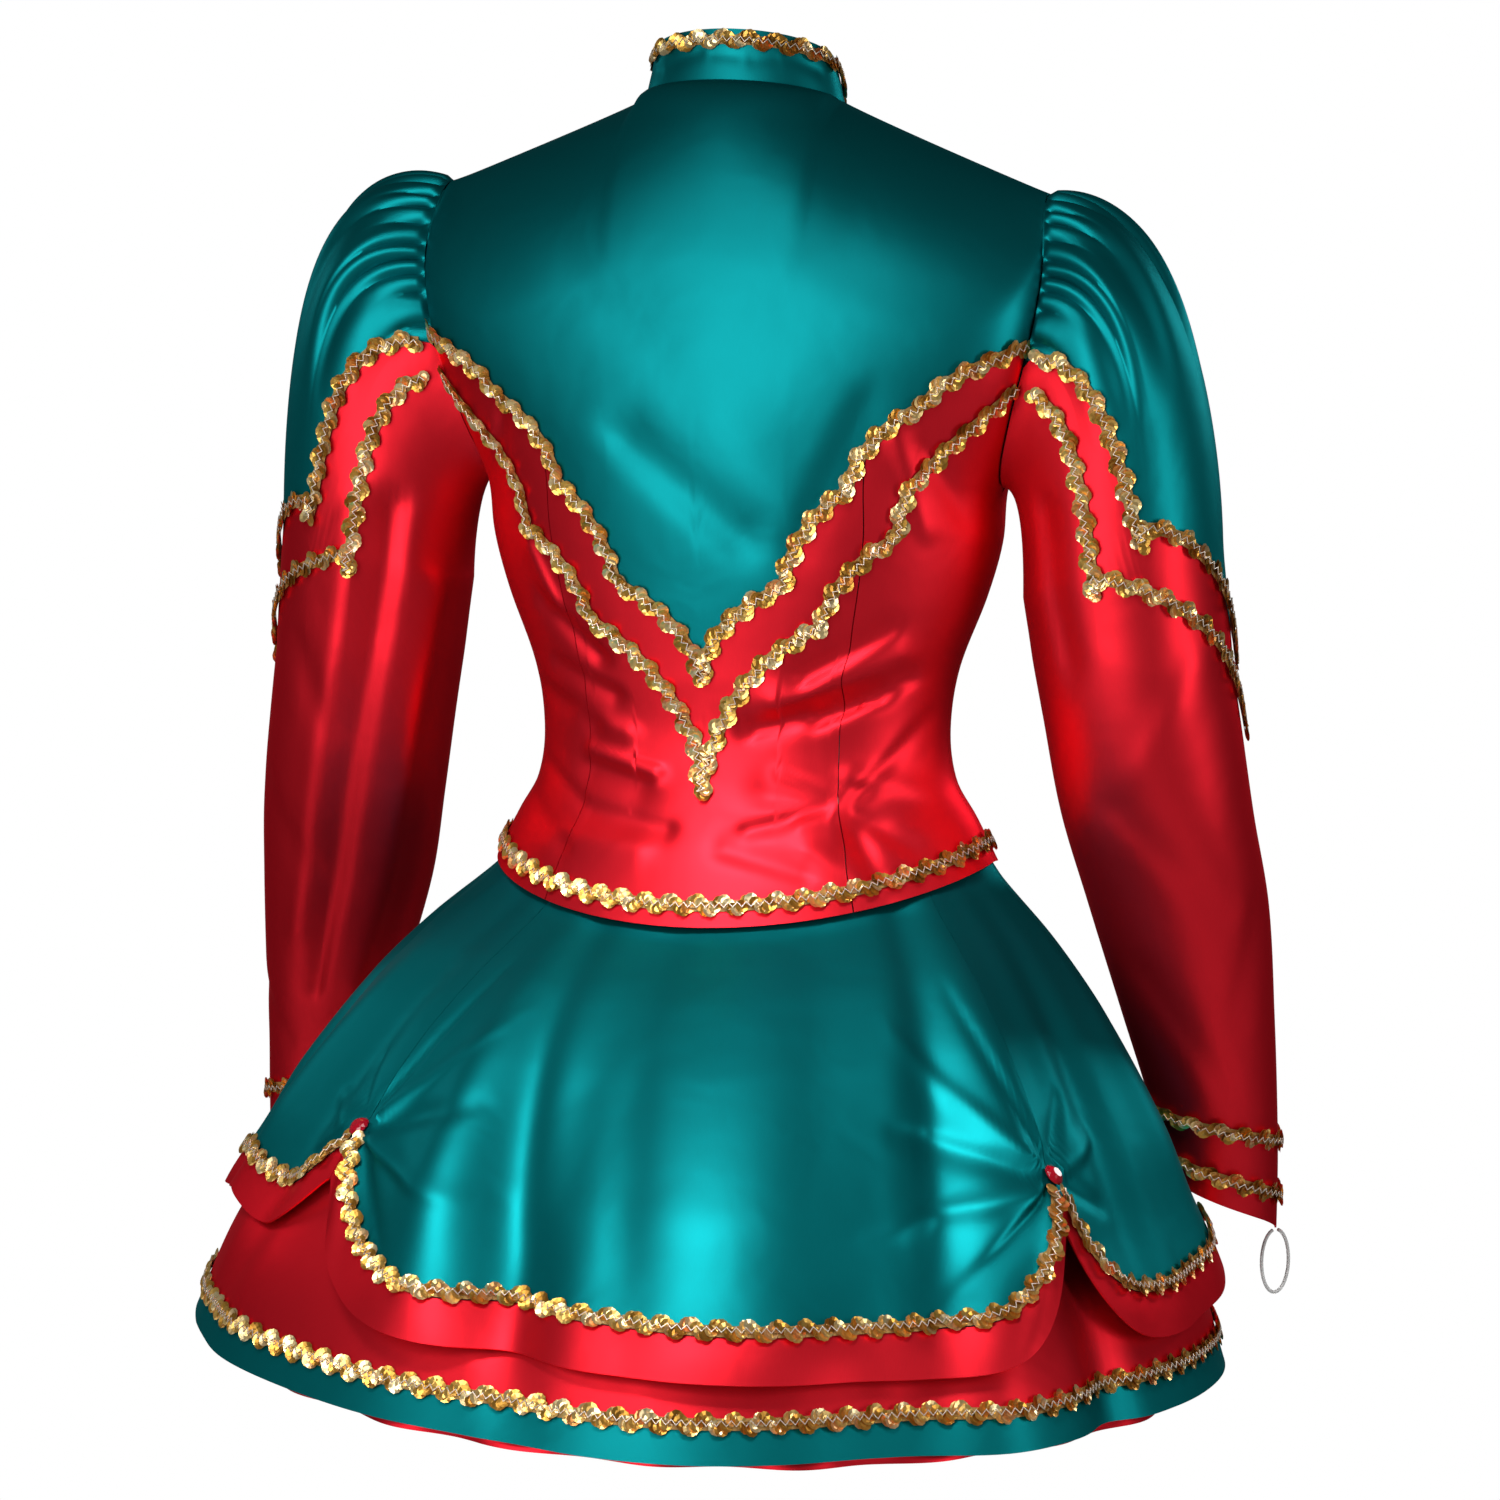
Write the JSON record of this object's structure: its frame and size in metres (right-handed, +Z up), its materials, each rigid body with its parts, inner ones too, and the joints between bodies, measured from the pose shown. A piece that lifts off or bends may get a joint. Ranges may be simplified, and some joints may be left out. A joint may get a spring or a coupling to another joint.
{
  "type": "majorette uniform",
  "caption": "Fitted majorette jacket with stand collar and puffed sleeves over a festooned overskirt, underskirt and petticoat, edged with sequin braid.",
  "frame": {"origin": "middle of the neck seam, where the wearer's shoulders and neck carry the uniform", "axes": "+Z up along the wearer, -Y the way the wearer faces, +X towards the wearer's left arm"},
  "size_m": [0.6837, 0.5939, 0.778],
  "materials": {
    "teal_satin": "satin",
    "red_satin": "satin",
    "sequin_braid": "metallic gold sequins",
    "white_cloth": "matt",
    "white_elastic": "braided elastic cord",
    "red_jewel": "faceted, gloss"
  },
  "bodies": {
    "root": {"back_yoke": "teal_satin", "back_centre": "red_satin", "back_side_left": "red_satin", "back_side_right": "red_satin", "front_yoke_left": "teal_satin", "front_left": "red_satin", "front_yoke_right": "teal_satin", "front_right": "red_satin", "braid_back_upper": "sequin_braid", "braid_back_lower": "sequin_braid", "braid_front_upper_left": "sequin_braid", "braid_front_lower_left": "sequin_braid", "braid_front_upper_right": "sequin_braid", "braid_front_lower_right": "sequin_braid", "braid_jacket_hem": "sequin_braid", "collar": "teal_satin", "braid_collar": "sequin_braid", "sleeve_cap_left": "teal_satin", "sleeve_left": "red_satin", "braid_sleeve_upper_left": "sequin_braid", "braid_sleeve_lower_left": "sequin_braid", "braid_cuff_upper_left": "sequin_braid", "braid_cuff_lower_left": "sequin_braid", "sleeve_cap_right": "teal_satin", "sleeve_right": "red_satin", "braid_sleeve_upper_right": "sequin_braid", "braid_sleeve_lower_right": "sequin_braid", "braid_cuff_upper_right": "sequin_braid", "braid_cuff_lower_right": "sequin_braid", "finger_loop_left": "white_elastic", "finger_loop_right": "white_elastic", "overskirt_back": "teal_satin", "overskirt_band_back": "red_satin", "overskirt_braid_back": "sequin_braid", "overskirt_left": "teal_satin", "overskirt_band_left": "red_satin", "overskirt_braid_left": "sequin_braid", "overskirt_front": "teal_satin", "overskirt_band_front": "red_satin", "overskirt_braid_front": "sequin_braid", "overskirt_right": "teal_satin", "overskirt_band_right": "red_satin", "overskirt_braid_right": "sequin_braid", "jewel_back_left": "red_jewel", "jewel_back_right": "red_jewel", "jewel_front_left": "red_jewel", "jewel_front_right": "red_jewel", "underskirt": "red_satin", "underskirt_band": "teal_satin", "underskirt_braid": "sequin_braid", "petticoat": "white_cloth", "petticoat_binding": "red_satin", "waistband": "teal_satin"}
  },
  "joints": []
}
